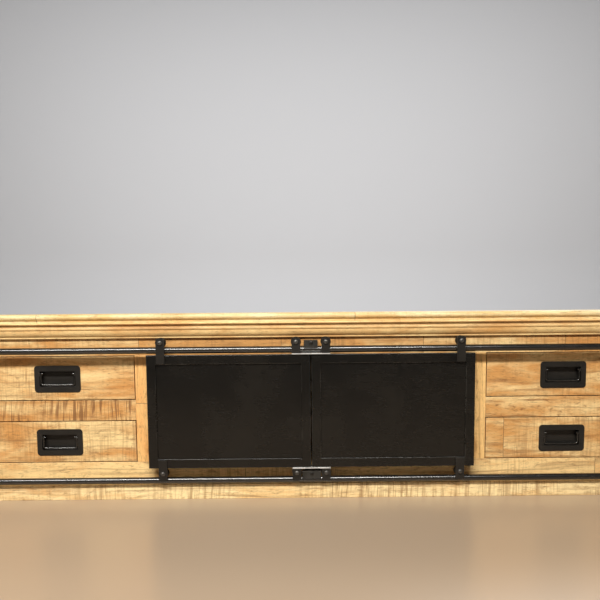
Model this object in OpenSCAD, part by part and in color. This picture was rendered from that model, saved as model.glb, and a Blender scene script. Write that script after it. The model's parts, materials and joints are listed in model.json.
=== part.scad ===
// Long low television cabinet: a solid wood case on a plinth, four drawers with flush pulls,
// and two framed steel doors that roll on a pair of full-length round rods.
// The front faces -Y. The origin is on the floor, under the middle of the whole cabinet.

/* [Overall] */
// Width over the top board's moulded edges
overall_width = 1720; // [1430:10:2064]
// Height from the floor to the top
overall_height = 444; // [440:4:560]
// Depth of the case, from the plane of the drawer fronts to the back
case_depth = 378; // [300:2:460]

/* [Boards] */
// Thickness of the top board
top_thickness = 20; // [18:1:30]
// Reach of the top board past the case, at the front and the two sides
top_overhang = 22; // [18:1:30]
// Height of the moulding under the top board
cornice_height = 37; // [37:1:46]
// Thickness of the side panels, dividers, bottom and shelf
board_thickness = 18; // [15:1:25]
// Thickness of the back panel
back_thickness = 8; // [5:1:12]
// Thickness of the face frame's stiles and rails
frame_thickness = 20; // [16:1:26]
// Height of the plinth
plinth_height = 36; // [30:1:60]
// Thickness of the plinth boards, which stand proud of the case by this much
plinth_thickness = 22; // [15:1:30]

/* [Face frame] */
// Width of the stile at each end
outer_stile_width = 46; // [36:1:60]
// Width of the stile on each side of the centre bay
inner_stile_width = 53; // [44:1:70]
// Height of the frieze that shows between the moulding and the upper drawers
frieze_height = 41.5; // [34:0.5:60]
// Height of the rail between two drawers
mid_rail_height = 49; // [30:1:60]
// Height of the bottom rail above the plinth
bottom_rail_height = 51.5; // [46:0.5:70]
// Clear width of the centre bay
bay_width = 736; // [600:2:840]

/* [Drawers] */
// Half of the difference in height between the upper and the lower drawer front
drawer_step = 2.75; // [0:0.25:6]
// Gap around each drawer front
drawer_gap = 2; // [1:0.25:3]
// Thickness of the drawer fronts
drawer_front_thickness = 20; // [18:1:26]
// Thickness of the drawer sides and back
drawer_wall = 12; // [9:1:16]
// Thickness of the drawer bottom
drawer_bottom = 6; // [4:1:9]
// How far the top of a drawer's sides lies below the top of its front
drawer_side_drop = 14; // [8:1:24]
// Space between the drawer box and the back panel
drawer_back_space = 26; // [20:1:60]
// Height of the wooden drawer runners
runner_height = 20; // [12:1:26]

/* [Flush pulls] */
// Width of the pull's plate
pull_width = 110; // [102:1:130]
// Height of the pull's plate
pull_height = 64; // [54:1:72]
// Corner radius of the plate
pull_corner = 8; // [4:1:12]
// Thickness of the plate, and of the cup's walls
pull_sheet = 1.5; // [1:0.25:2.5]
// Width of the cup's mouth
cup_width = 86; // [76:1:98]
// Height of the cup's mouth
cup_height = 38; // [34:1:46]
// Depth of the cup behind the front of the drawer
cup_depth = 13; // [11:0.1:16]
// Corner radius of the cup's mouth
cup_corner = 4; // [3:0.5:8]
// Diameter of the bail's rod
bail_rod = 5; // [4:0.5:6]
// Length of the bail's legs, from the pivot to the middle of the grip
bail_drop = 27; // [20:1:28]
// How far a pull's middle lies below the middle of its drawer front
pull_sink = 1.2; // [0:0.1:6]

/* [Rods and hangers] */
// Diameter of the two round rods
rod_diameter = 16; // [12:1:20]
// Distance from the case's face to the middle of a rod
rod_standoff = 28; // [26:1:36]
// Height of the lower rod's middle above the plinth
lower_rod_rise = 11.5; // [11:0.5:24]
// Depth of the upper rod's middle below the moulding
upper_rod_drop = 28.5; // [26:0.5:36]
// How far each rod stops short of the case's side
rod_end_inset = 12; // [4:1:30]
// Width of the brackets that carry the upper rod
upper_bracket_width = 32; // [24:1:44]
// Width of the brackets that carry the lower rod
lower_bracket_width = 44; // [24:1:50]
// Height of a bracket above the rod's middle
bracket_height = 21; // [18:1:24]
// Distance from a rod's end to the middle of its end bracket
bracket_inset = 22; // [22:1:40]
// Width of the hanger straps
strap_width = 20; // [16:1:26]
// Thickness of the hanger straps
strap_thickness = 4; // [3:0.5:6]
// Distance from the door's side edge to the middle of a strap
strap_inset = 34; // [24:1:50]
// Thickness of the bare steel foot under each inner hanger
foot_thickness = 2.5; // [2:0.25:3]
// Radius of a wheel at the bottom of its groove
wheel_groove_radius = 9.5; // [8:0.5:12]
// Radius of a wheel's flanges
wheel_flange_radius = 12; // [11:0.5:15]
// Width of a wheel
wheel_width = 14; // [13:0.5:15]
// Diameter of the axle bolts
axle_diameter = 6; // [5:0.5:8]

/* [Doors] */
// How far each closed door laps over the stile beside the bay
door_lap = 19; // [10:1:30]
// Gap between the two closed doors
door_gap = 2; // [1:0.5:4]
// Width and depth of the door frame's square tube
door_tube = 22; // [18:1:30]
// Depth of the door's sheet behind the front of its frame
door_recess = 4; // [3:0.5:8]
// Thickness of the door's sheet
door_sheet = 3; // [2:0.5:5]
// Space between the lower wheels and the door above them
wheel_door_gap = 0.6; // [0.4:0.1:6]

/* [Centre bay] */
// Height of the shelf's middle between the bay's floor and the top, as a part of one
shelf_place = 0.45; // [0.3:0.05:0.7]
// Space between the shelf's front and the face frame
shelf_setback = 30; // [10:5:80]
// Diameter of the shelf pins
shelf_pin_diameter = 7; // [5:0.5:8]
// Diameter of the two cable holes in the back panel
cable_hole_diameter = 64; // [40:2:80]
// Distance from the middle of the back panel to the middle of a cable hole
cable_hole_offset = 180; // [80:5:240]

/* [Clearances] */
// Between a wheel and its rod, and between other moving pieces that nearly touch
slip = 0.3; // [0.2:0.05:0.6]
// Radial, between an axle and its wheel
axle_fit = 0.05; // [0.02:0.01:0.1]
// Between a moving strap and the rod behind it
strap_clearance = 1; // [0.6:0.1:2]
// Glue line between the boards of a drawer box
glue_line = 0.1; // [0.05:0.05:0.2]

/* [Hidden] */

wood = [0.72, 0.53, 0.34];
plywood = [0.78, 0.64, 0.45];
black_iron = [0.07, 0.065, 0.06];
bare_steel = [0.75, 0.74, 0.71];
black_plastic = [0.05, 0.05, 0.05];
round_fn = 48;
nothing = 0.01; // makes a cut run past the face it opens

// Hanger, from the case's face forwards
rod_radius = rod_diameter / 2;
strap_back = rod_standoff + rod_radius + strap_clearance;
strap_front = strap_back + strap_thickness;
bolt_head_height = 5;
bolt_head_radius = 5.5;
front_reach = strap_front + bolt_head_height;

// Depths: y of the case's face and back
face_y = (front_reach - case_depth) / 2;
back_y = face_y + case_depth;
inside_front_y = face_y + frame_thickness;
inside_back_y = back_y - back_thickness;

// Widths: x of the case's side, the drawers and the bay
case_half = overall_width / 2 - top_overhang;
bay_half = bay_width / 2;
drawer_inner_x = bay_half + inner_stile_width;
drawer_outer_x = case_half - outer_stile_width;
drawer_middle_x = (drawer_inner_x + drawer_outer_x) / 2;

// Heights
top_bottom_z = overall_height - top_thickness;
cornice_bottom_z = top_bottom_z - cornice_height;
upper_drawer_top_z = cornice_bottom_z - frieze_height;
lower_drawer_bottom_z = plinth_height + bottom_rail_height;
drawer_space = upper_drawer_top_z - lower_drawer_bottom_z - mid_rail_height;
lower_drawer_top_z = lower_drawer_bottom_z + drawer_space / 2 - drawer_step;
upper_drawer_bottom_z = lower_drawer_top_z + mid_rail_height;
bay_floor_z = lower_drawer_bottom_z;
shelf_z = bay_floor_z + (top_bottom_z - bay_floor_z) * shelf_place;

// Rods and doors
rod_y = face_y - rod_standoff;
upper_rod_z = cornice_bottom_z - upper_rod_drop;
lower_rod_z = plinth_height + lower_rod_rise;
rod_half = case_half - rod_end_inset;
axle_rise = rod_radius + wheel_groove_radius + slip;
axle_radius = axle_diameter / 2;
upper_axle_z = upper_rod_z + axle_rise;
lower_axle_z = lower_rod_z + axle_rise;
groove_radius = rod_radius + 0.5;
door_front_y = face_y - strap_back;
door_back_y = door_front_y + door_tube;
door_inner_x = door_gap / 2;
door_outer_x = bay_half + door_lap;
door_bottom_z = lower_axle_z + wheel_flange_radius + wheel_door_gap;
foot_slip = 0.7; // between the foot and the upper rod
foot_end_x = 0.3; // feet of the two doors nearly meet
slot_clearance = 1; // around a wheel, in the foot of its hanger
door_top_z = upper_rod_z - rod_radius - foot_slip - foot_thickness;
inner_strap_x = door_inner_x + strap_inset;
outer_strap_x = door_outer_x - strap_inset;
strap_end = 9; // from an axle's middle to the strap's free end
strap_lap = 20; // how far an outer strap laps the door frame
lower_strap_tail = 18.5; // from a lower axle down to the strap's end

// Pulls
pivot_height = cup_height / 2 - 7; // above the pull's middle
bail_half = cup_width / 2 - 5;
bail_y = face_y + bail_rod / 2 - 0.5;
bail_pin_length = 4.7;
pocket_fit = 0.5;

// ---------- shapes that repeat ----------

// A board between two corners
module board(low, high) {
    translate(low) cube(high - low);
}

// A cylinder along Y from y0 to y1
module rod_along_y(x, y0, y1, z, radius, fn = round_fn) {
    translate([x, y0, z]) rotate([-90, 0, 0]) cylinder(h = y1 - y0, r = radius, $fn = fn);
}

// A rectangle with round corners, centred
module rounded_rectangle(width, height, radius) {
    square([width - 2 * radius, height], center = true);
    square([width, height - 2 * radius], center = true);
    for (sx = [-1, 1], sz = [-1, 1])
        translate([sx * (width / 2 - radius), sz * (height / 2 - radius)])
            circle(r = radius, $fn = 32);
}

// Extrudes a centred X-Z outline along Y from y0 to y1
module plate_along_y(x, y0, y1, z) {
    translate([x, y1, z]) rotate([90, 0, 0]) linear_extrude(y1 - y0) children();
}

// Puts a right-hand copy or a left-hand one in place
module on_side(side) {
    scale_x = side == "left" ? 1 : 0;
    mirror([scale_x, 0, 0]) children();
}

// ---------- top and mouldings ----------

// Half of the top board's edge: a full bullnose over a shallow cove
bullnose_height = 14;
module bullnose_outline(reach) {
    nose = bullnose_height / 2;
    translate([0, top_thickness - bullnose_height]) square([reach - nose, bullnose_height]);
    translate([reach - nose, top_thickness - nose]) circle(r = nose, $fn = round_fn);
    square([reach - 6, top_thickness]);
}

module top_board() {
    top_depth = case_depth + top_overhang;
    color(wood) intersection() {
        translate([-overall_width / 2, back_y, top_bottom_z])
            rotate([90, 0, 90]) linear_extrude(overall_width)
                mirror([1, 0]) bullnose_outline(top_depth);
        translate([0, back_y, top_bottom_z])
            rotate([90, 0, 0]) linear_extrude(top_depth + 1) {
                bullnose_outline(overall_width / 2);
                mirror([1, 0]) bullnose_outline(overall_width / 2);
            }
    }
}

// The moulding's outline: the case's face at 0, and heights down from the top board
module cornice_outline() {
    reed = 5;
    bead = 8.5;
    small_groove = 5;
    ovolo_height = cornice_height - reed - small_groove - bead;
    ovolo_foot = 7;
    ovolo_reach = 15;
    difference() {
        union() {
            translate([0, -cornice_height]) square([ovolo_foot, cornice_height]);
            translate([0, -cornice_height + ovolo_height]) square([ovolo_reach - 1, cornice_height - ovolo_height]);
            translate([0, -reed]) square([20 - reed / 2, reed]);
            translate([20 - reed / 2, -reed / 2]) circle(r = reed / 2, $fn = 32);
            translate([0, -reed - small_groove - bead]) square([17 - bead / 2, bead]);
            translate([17 - bead / 2, -reed - small_groove - bead / 2]) circle(r = bead / 2, $fn = 32);
            intersection() {
                translate([ovolo_foot - 10.5, -cornice_height + ovolo_height])
                    circle(r = ovolo_height, $fn = 64);
                translate([0, -cornice_height]) square([ovolo_reach, ovolo_height]);
            }
        }
        translate([-20, -cornice_height - 1]) square([20, cornice_height + 2]);
    }
}

module cornice_front() {
    reach = 20;
    color(wood) intersection() {
        translate([-case_half - reach, face_y, top_bottom_z])
            rotate([90, 0, 90]) linear_extrude(2 * (case_half + reach))
                mirror([1, 0]) cornice_outline();
        mitre_wedge(cornice_bottom_z - 1, cornice_height + 2);
    }
}

// The plan of a front strip whose ends are mitred at 45 degrees
module mitre_wedge(z, height) {
    reach = 60;
    translate([0, 0, z]) linear_extrude(height)
        polygon([
            [-case_half, face_y], [-case_half - reach, face_y - reach],
            [case_half + reach, face_y - reach], [case_half, face_y]
        ]);
}

// The plan of a side strip, mitred at the front
module side_wedge(z, height) {
    reach = 60;
    translate([0, 0, z]) linear_extrude(height)
        polygon([
            [case_half, face_y], [case_half + reach, face_y - reach],
            [case_half + reach, back_y], [case_half, back_y]
        ]);
}

module cornice_sides() {
    reach = 20;
    color(wood) for (side = ["left", "right"]) on_side(side) intersection() {
        translate([case_half, back_y, top_bottom_z])
            rotate([90, 0, 0]) linear_extrude(case_depth + reach) cornice_outline();
        side_wedge(cornice_bottom_z - 1, cornice_height + 2);
    }
}

// ---------- case ----------

module side_panel(side) {
    color(wood) on_side(side)
        board([case_half - board_thickness, inside_front_y, 0], [case_half, inside_back_y, top_bottom_z]);
}

module divider(side) {
    x = drawer_inner_x;
    color(wood) on_side(side) difference() {
        board([x - board_thickness, inside_front_y, lower_drawer_bottom_z], [x, inside_back_y, top_bottom_z]);
        for (y = shelf_pin_y)
            translate([x - board_thickness - nothing, y, shelf_pin_z])
                rotate([0, 90, 0]) cylinder(h = shelf_pin_depth + nothing, r = shelf_pin_diameter / 2, $fn = 24);
    }
}

module bottom_board() {
    color(wood) board(
        [-case_half + board_thickness, inside_front_y, bay_floor_z - board_thickness],
        [case_half - board_thickness, inside_back_y, bay_floor_z]
    );
}

module back_panel() {
    color(plywood) difference() {
        board([-case_half, inside_back_y, plinth_height], [case_half, back_y, top_bottom_z]);
        for (x = [-cable_hole_offset, cable_hole_offset])
            rod_along_y(x, inside_back_y - 1, back_y + 1, cable_hole_z, cable_hole_diameter / 2);
    }
}

module frieze_rail() {
    color(wood) board(
        [-drawer_outer_x, face_y, upper_drawer_top_z],
        [drawer_outer_x, inside_front_y, top_bottom_z]
    );
}

module bottom_rail() {
    color(wood) board(
        [-drawer_outer_x, face_y, 0],
        [drawer_outer_x, inside_front_y, lower_drawer_bottom_z]
    );
}

module outer_stile(side) {
    color(wood) on_side(side)
        board([drawer_outer_x, face_y, 0], [case_half, inside_front_y, top_bottom_z]);
}

module inner_stile(side) {
    color(wood) on_side(side)
        board([bay_half, face_y, lower_drawer_bottom_z], [drawer_inner_x, inside_front_y, upper_drawer_top_z]);
}

module mid_rail(side) {
    color(wood) on_side(side)
        board([drawer_inner_x, face_y, lower_drawer_top_z], [drawer_outer_x, inside_front_y, upper_drawer_bottom_z]);
}

module plinth_front() {
    reach = plinth_thickness;
    color(wood) intersection() {
        board([-case_half - reach, face_y - reach, 0], [case_half + reach, face_y, plinth_height]);
        mitre_wedge(-1, plinth_height + 2);
    }
}

module plinth_side(side) {
    reach = plinth_thickness;
    color(wood) on_side(side) intersection() {
        board([case_half, face_y - reach, 0], [case_half + reach, back_y, plinth_height]);
        side_wedge(-1, plinth_height + 2);
    }
}

// ---------- centre bay ----------

shelf_front_y = inside_front_y + shelf_setback;
shelf_half = drawer_inner_x - board_thickness - 1;
shelf_bottom_z = shelf_z - board_thickness / 2;
shelf_pin_depth = 8;
shelf_pin_out = 12;
shelf_pin_z = shelf_bottom_z - shelf_pin_diameter / 2;
shelf_pin_y = [shelf_front_y + 40, inside_back_y - 50];
cable_hole_z = (bay_floor_z + shelf_bottom_z) / 2;
grommet_wall = 2.5;
grommet_flange = 5;

module centre_shelf() {
    color(wood) board([-shelf_half, shelf_front_y, shelf_bottom_z], [shelf_half, inside_back_y - 4, shelf_bottom_z + board_thickness]);
}

module shelf_pins() {
    x = drawer_inner_x - board_thickness;
    color(bare_steel) for (side = ["left", "right"], y = shelf_pin_y) on_side(side)
        translate([x - shelf_pin_out, y, shelf_pin_z])
            rotate([0, 90, 0]) cylinder(h = shelf_pin_out + shelf_pin_depth, r = shelf_pin_diameter / 2, $fn = 24);
}

module cable_grommets() {
    outer = cable_hole_diameter / 2;
    color(black_plastic) for (x = [-cable_hole_offset, cable_hole_offset]) difference() {
        union() {
            rod_along_y(x, inside_back_y, back_y - 1, cable_hole_z, outer);
            rod_along_y(x, inside_back_y - 2, inside_back_y, cable_hole_z, outer + grommet_flange);
        }
        rod_along_y(x, inside_back_y - 3, back_y + 1, cable_hole_z, outer - grommet_wall);
    }
}

// ---------- rods ----------

module rod(z) {
    color(black_iron) translate([-rod_half, rod_y, z])
        rotate([0, 90, 0]) cylinder(h = 2 * rod_half, r = rod_radius, $fn = round_fn);
}

// x of a bracket, by its place: the two ends and the middle
bracket_x = [-rod_half + bracket_inset, 0, rod_half - bracket_inset];
bracket_bolt_rise = (rod_radius + bracket_height) / 2 + 0.5;
rod_bolt_radius = 2.5;

module rod_brackets() {
    rods = [upper_rod_z, lower_rod_z];
    widths = [upper_bracket_width, lower_bracket_width];
    color(black_iron) for (i = [0, 1], x = bracket_x) difference() {
        board(
            [x - widths[i] / 2, rod_y - rod_radius, rods[i] + 3],
            [x + widths[i] / 2, face_y, rods[i] + bracket_height]
        );
        translate([x - 50, rod_y, rods[i]]) rotate([0, 90, 0]) cylinder(h = 100, r = rod_radius + 0.02, $fn = round_fn);
        rod_along_y(x, rod_y - rod_radius - 1, face_y + 1, rods[i] + bracket_bolt_rise, rod_bolt_radius + 0.1);
    }
}

module rod_bolts() {
    color(black_iron) for (z = [upper_rod_z, lower_rod_z], x = bracket_x) {
        bolt_z = z + bracket_bolt_rise;
        head_y = rod_y - rod_radius;
        difference() {
            rod_along_y(x, head_y - 3, head_y, bolt_z, 4.5);
            rod_along_y(x, head_y - 3 - nothing, head_y - 1.2, bolt_z, 2, 6);
        }
        rod_along_y(x, head_y - nothing, face_y, bolt_z, rod_bolt_radius);
    }
}

// ---------- doors ----------

module door_frame(side) {
    t = door_tube;
    color(black_iron) on_side(side) difference() {
        board([door_inner_x, door_front_y, door_bottom_z], [door_outer_x, door_back_y, door_top_z]);
        board(
            [door_inner_x + t, door_front_y - 1, door_bottom_z + t],
            [door_outer_x - t, door_back_y + 1, door_top_z - t]
        );
    }
}

module door_sheet_panel(side) {
    t = door_tube;
    y = door_front_y + door_recess;
    color(black_iron) on_side(side)
        board([door_inner_x + t, y, door_bottom_z + t], [door_outer_x - t, y + door_sheet, door_top_z - t]);
}

// A flat strap in front of the rod, from z0 to z1, with the hole for its axle
module strap(x, z0, z1, axle_z) {
    difference() {
        board([x - strap_width / 2, face_y - strap_front, z0], [x + strap_width / 2, face_y - strap_back, z1]);
        rod_along_y(x, face_y - strap_front - 1, face_y - strap_back + 1, axle_z, axle_radius + 0.1);
    }
}

// The foot of an inner hanger: a flat plate on the door's edge, from the strap to the meeting edge,
// with a slot over the wheel
module hanger_foot(z) {
    slot_half = wheel_flange_radius + slot_clearance;
    slot_depth = wheel_width / 2 + slot_clearance;
    difference() {
        board(
            [foot_end_x, face_y - strap_front, z],
            [inner_strap_x + strap_width / 2, door_back_y, z + foot_thickness]
        );
        board(
            [inner_strap_x - slot_half, rod_y - slot_depth, z - 1],
            [inner_strap_x + slot_half, rod_y + slot_depth, z + foot_thickness + 1]
        );
    }
}

module door_hangers(side) {
    color(black_iron) on_side(side) {
        strap(outer_strap_x, door_top_z - strap_lap, upper_axle_z + strap_end, upper_axle_z);
        strap(outer_strap_x, lower_axle_z - lower_strap_tail, door_bottom_z + strap_lap, lower_axle_z);
        strap(inner_strap_x, door_top_z, upper_axle_z + strap_end, upper_axle_z);
        hanger_foot(door_top_z);
        strap(inner_strap_x, lower_axle_z - lower_strap_tail, door_bottom_z, lower_axle_z);
        hanger_foot(door_bottom_z - foot_thickness);
    }
}

// A shoulder bolt: head in front of the strap, shank through the strap and the wheel, nut behind
module axle_bolt(x, z) {
    nut_height = 3;
    wheel_front = rod_standoff + wheel_width / 2 + slip;
    wheel_back = rod_standoff - wheel_width / 2 - slip;
    difference() {
        rod_along_y(x, face_y - front_reach, face_y - strap_front, z, bolt_head_radius);
        rod_along_y(x, face_y - front_reach - nothing, face_y - front_reach + 2.5, z, 2.5, 6);
    }
    rod_along_y(x, face_y - strap_front - nothing, face_y - wheel_back + nothing, z, axle_radius);
    rod_along_y(x, face_y - strap_back, face_y - wheel_front, z, axle_radius + 2);
    rod_along_y(x, face_y - wheel_back, face_y - wheel_back + nut_height, z, 5, 6);
}

module door_axles(side) {
    color(bare_steel) on_side(side)
        for (x = [inner_strap_x, outer_strap_x], z = [upper_axle_z, lower_axle_z]) axle_bolt(x, z);
}

// A grooved wheel that rides on top of a rod
module wheel(side, x, z) {
    color(black_iron) on_side(side) translate([x, rod_y, z]) rotate([90, 0, 0]) rotate_extrude($fn = round_fn)
        difference() {
            translate([axle_radius + axle_fit, -wheel_width / 2])
                square([wheel_flange_radius - axle_radius - axle_fit, wheel_width]);
            translate([wheel_groove_radius + groove_radius, 0]) circle(r = groove_radius, $fn = round_fn);
        }
}

// ---------- drawers ----------

// z of a drawer front's lower and upper edge
function front_low(level) = (level == "upper" ? upper_drawer_bottom_z : lower_drawer_bottom_z) + drawer_gap;
function front_high(level) = (level == "upper" ? upper_drawer_top_z : lower_drawer_top_z) - drawer_gap;
function pull_z(level) = (front_low(level) + front_high(level)) / 2 - pull_sink;
front_x0 = drawer_inner_x + drawer_gap;
front_x1 = drawer_outer_x - drawer_gap;
box_front_y = face_y + drawer_front_thickness;
box_back_y = inside_back_y - drawer_back_space;

module drawer_front(side, level) {
    z = pull_z(level);
    pocket_width = cup_width + 2 * pull_sheet + 2 * pocket_fit;
    pocket_height = cup_height + 2 * pull_sheet + 2 * pocket_fit;
    color(wood) on_side(side) difference() {
        board([front_x0, face_y, front_low(level)], [front_x1, face_y + drawer_front_thickness, front_high(level)]);
        plate_along_y(drawer_middle_x, face_y - 1, face_y + cup_depth + pull_sheet + pocket_fit, z)
            rounded_rectangle(pocket_width, pocket_height, cup_corner + pull_sheet);
    }
}

// Two sides, a back between them and a bottom that sits in a groove on all of them
module drawer_box(side, level) {
    low = front_low(level);
    high = front_high(level) - drawer_side_drop;
    groove_z = low + 8;
    groove_depth = 5;
    inner0 = front_x0 + drawer_wall;
    inner1 = front_x1 - drawer_wall;
    g = glue_line;
    color(plywood) on_side(side) {
        difference() {
            union() {
                board([front_x0, box_front_y, low], [inner0, box_back_y, high]);
                board([inner1, box_front_y, low], [front_x1, box_back_y, high]);
            }
            board(
                [inner0 - groove_depth, box_front_y - 1, groove_z],
                [inner1 + groove_depth, box_back_y - drawer_wall + groove_depth, groove_z + drawer_bottom]
            );
        }
        difference() {
            board([inner0 + g, box_back_y - drawer_wall, low], [inner1 - g, box_back_y, high]);
            board([inner0, box_back_y - drawer_wall - 1, groove_z], [inner1, box_back_y - drawer_wall + groove_depth, groove_z + drawer_bottom]);
        }
        board(
            [inner0 - groove_depth + g, box_front_y + g, groove_z + g],
            [inner1 + groove_depth - g, box_back_y - drawer_wall + groove_depth - g, groove_z + drawer_bottom - g]
        );
    }
}

// The flush pull: a plate on the drawer's face and a cup sunk into it
module drawer_pull(side, level) {
    z = pull_z(level);
    ear_x = cup_width / 2;
    color(black_iron) on_side(side) difference() {
        union() {
            plate_along_y(drawer_middle_x, face_y - pull_sheet, face_y, z)
                rounded_rectangle(pull_width, pull_height, pull_corner);
            plate_along_y(drawer_middle_x, face_y - nothing, face_y + cup_depth + pull_sheet, z)
                rounded_rectangle(cup_width + 2 * pull_sheet, cup_height + 2 * pull_sheet, cup_corner + pull_sheet);
        }
        plate_along_y(drawer_middle_x, face_y - pull_sheet - 1, face_y + cup_depth, z)
            rounded_rectangle(cup_width, cup_height, cup_corner);
    }
    color(black_iron) on_side(side) for (s = [-1, 1]) difference() {
        ear_low = bail_half + bail_rod / 2 + slip;
        translate([drawer_middle_x, 0, z + pivot_height]) board(
            [s > 0 ? ear_low : -ear_x - nothing, bail_y - 4, -4],
            [s > 0 ? ear_x + nothing : -ear_low, face_y + cup_depth + nothing, 4]
        );
        translate([drawer_middle_x - ear_x, bail_y, z + pivot_height])
            rotate([0, 90, 0]) cylinder(h = 2 * ear_x, r = bail_pin_radius + axle_fit, $fn = round_fn);
    }
}

bail_pin_radius = 1.5;
bail_corner = 5;

// The bail: a grip between two legs, with a pin at the top of each leg
module drawer_bail(side, level) {
    r = bail_rod / 2;
    z = pull_z(level) + pivot_height;
    low = -bail_drop;
    color(black_iron) on_side(side) translate([drawer_middle_x, bail_y, z]) {
        translate([-bail_half + bail_corner, 0, low])
            rotate([0, 90, 0]) cylinder(h = 2 * (bail_half - bail_corner), r = r, $fn = 32);
        for (s = [-1, 1]) {
            translate([s * bail_half, 0, low + bail_corner]) cylinder(h = bail_drop - bail_corner, r = r, $fn = 32);
            translate([s * bail_half, 0, 0]) sphere(r = r, $fn = 32);
            translate([s * (bail_half - bail_corner), 0, low + bail_corner])
                rotate([90, s > 0 ? 90 : 180, 0])
                    rotate_extrude(angle = 90, $fn = round_fn) translate([bail_corner, 0]) circle(r = r, $fn = 32);
            translate([s * bail_half + (s > 0 ? 0 : -bail_pin_length), 0, 0])
                rotate([0, 90, 0]) cylinder(h = bail_pin_length, r = bail_pin_radius, $fn = 32);
        }
    }
}

// Strips on the side panels and dividers that the drawer sides slide on
module drawer_runners() {
    under = drawer_wall + 4;
    color(wood) for (side = ["left", "right"], level = ["upper", "lower"]) on_side(side) {
        top_z = front_low(level) - slip;
        low_z = level == "upper" ? top_z - runner_height : bay_floor_z;
        board([drawer_inner_x, inside_front_y, low_z], [front_x0 + under, inside_back_y, top_z]);
        board([front_x1 - under, inside_front_y, low_z], [case_half - board_thickness, inside_back_y, top_z]);
    }
}

// ---------- nodes ----------

top_board();
cornice_front();
cornice_sides();
side_panel("left");  // side_panel_left
side_panel("right");  // side_panel_right
divider("left");  // divider_left
divider("right");  // divider_right
bottom_board();
back_panel();
frieze_rail();
bottom_rail();
outer_stile("left");  // outer_stile_left
outer_stile("right");  // outer_stile_right
inner_stile("left");  // inner_stile_left
inner_stile("right");  // inner_stile_right
mid_rail("left");  // mid_rail_left
mid_rail("right");  // mid_rail_right
plinth_front();
plinth_side("left");  // plinth_left
plinth_side("right");  // plinth_right
centre_shelf();
shelf_pins();
drawer_runners();
cable_grommets();
rod(upper_rod_z);  // upper_rod
rod(lower_rod_z);  // lower_rod
rod_brackets();
rod_bolts();
for (side = ["left", "right"]) {
    door_frame(side);
    door_sheet_panel(side);
    door_hangers(side);
    door_axles(side);
    wheel(side, outer_strap_x, upper_axle_z);
    wheel(side, inner_strap_x, upper_axle_z);
    wheel(side, outer_strap_x, lower_axle_z);
    wheel(side, inner_strap_x, lower_axle_z);
    for (level = ["upper", "lower"]) {
        name = str("drawer_", level, "_", side);
        drawer_front(side, level);
        drawer_box(side, level);
        drawer_pull(side, level);
        drawer_bail(side, level);
    }
}
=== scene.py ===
# %% [markdown]
# # A long, low television cabinet in mango wood and black iron
# The cabinet is a solid wood case with a moulded top, four drawers with sunk iron pulls, and two framed
# steel doors that roll along a pair of round rods. Its sizes, joints and every working piece come from a
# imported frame. Here each of those pieces gets the shape of its edges, its surface and its finish.
# %% Load the frame
import json
import math

import bmesh
import bpy
from mathutils import Matrix, Vector, noise

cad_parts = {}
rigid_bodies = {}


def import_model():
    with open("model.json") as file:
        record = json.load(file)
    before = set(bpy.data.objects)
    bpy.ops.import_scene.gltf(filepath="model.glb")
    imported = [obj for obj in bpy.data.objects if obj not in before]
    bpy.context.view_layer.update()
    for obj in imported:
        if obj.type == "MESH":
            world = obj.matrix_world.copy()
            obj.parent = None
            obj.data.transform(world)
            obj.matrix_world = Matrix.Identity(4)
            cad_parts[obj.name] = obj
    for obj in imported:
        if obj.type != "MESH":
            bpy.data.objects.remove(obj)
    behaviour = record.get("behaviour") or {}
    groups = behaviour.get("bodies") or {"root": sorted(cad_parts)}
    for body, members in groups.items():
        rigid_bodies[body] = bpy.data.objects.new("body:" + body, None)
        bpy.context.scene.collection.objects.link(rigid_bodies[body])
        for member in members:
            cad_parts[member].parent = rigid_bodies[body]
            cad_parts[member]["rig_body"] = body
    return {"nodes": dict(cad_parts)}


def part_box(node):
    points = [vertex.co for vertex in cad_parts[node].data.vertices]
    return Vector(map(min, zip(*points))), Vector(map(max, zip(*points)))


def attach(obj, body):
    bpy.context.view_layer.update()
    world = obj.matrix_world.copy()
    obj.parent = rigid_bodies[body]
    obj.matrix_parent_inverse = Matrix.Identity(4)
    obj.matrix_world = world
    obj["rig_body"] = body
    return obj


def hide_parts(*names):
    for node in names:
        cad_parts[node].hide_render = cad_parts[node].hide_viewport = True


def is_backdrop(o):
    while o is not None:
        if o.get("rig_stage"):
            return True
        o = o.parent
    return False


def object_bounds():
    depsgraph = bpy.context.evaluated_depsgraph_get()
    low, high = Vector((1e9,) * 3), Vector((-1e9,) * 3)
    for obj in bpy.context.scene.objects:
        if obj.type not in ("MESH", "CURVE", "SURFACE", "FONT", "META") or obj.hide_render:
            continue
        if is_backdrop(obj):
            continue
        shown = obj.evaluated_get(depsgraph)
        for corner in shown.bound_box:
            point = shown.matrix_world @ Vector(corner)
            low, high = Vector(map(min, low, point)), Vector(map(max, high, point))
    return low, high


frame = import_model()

CAD_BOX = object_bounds()
NODES = frame["nodes"]
MM = 0.001

# %% [markdown]
# ## Camera
# The camera stands two metres in front of the cabinet, at the height of its top, so the top board is seen
# edge on. It looks down by six degrees, and a small upward shift of the lens puts the cabinet low in view.
# %% Camera
def add_object(name, data):
    """A new object in the scene that shows the data."""
    made = bpy.data.objects.new(name, data)
    scene.collection.objects.link(made)
    return made


scene = bpy.context.scene
scene.view_settings.view_transform = "Standard"
EYE = Vector((-0.0359, -2.020, 0.4523))
TILT_DOWN, TURN_RIGHT, ROLL = math.radians(6.008), math.radians(0.304), math.radians(0.485)
SENSOR_WIDTH, FOCAL_LENGTH, SHIFT_UP = 36, 46.53, 0.1513

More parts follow.
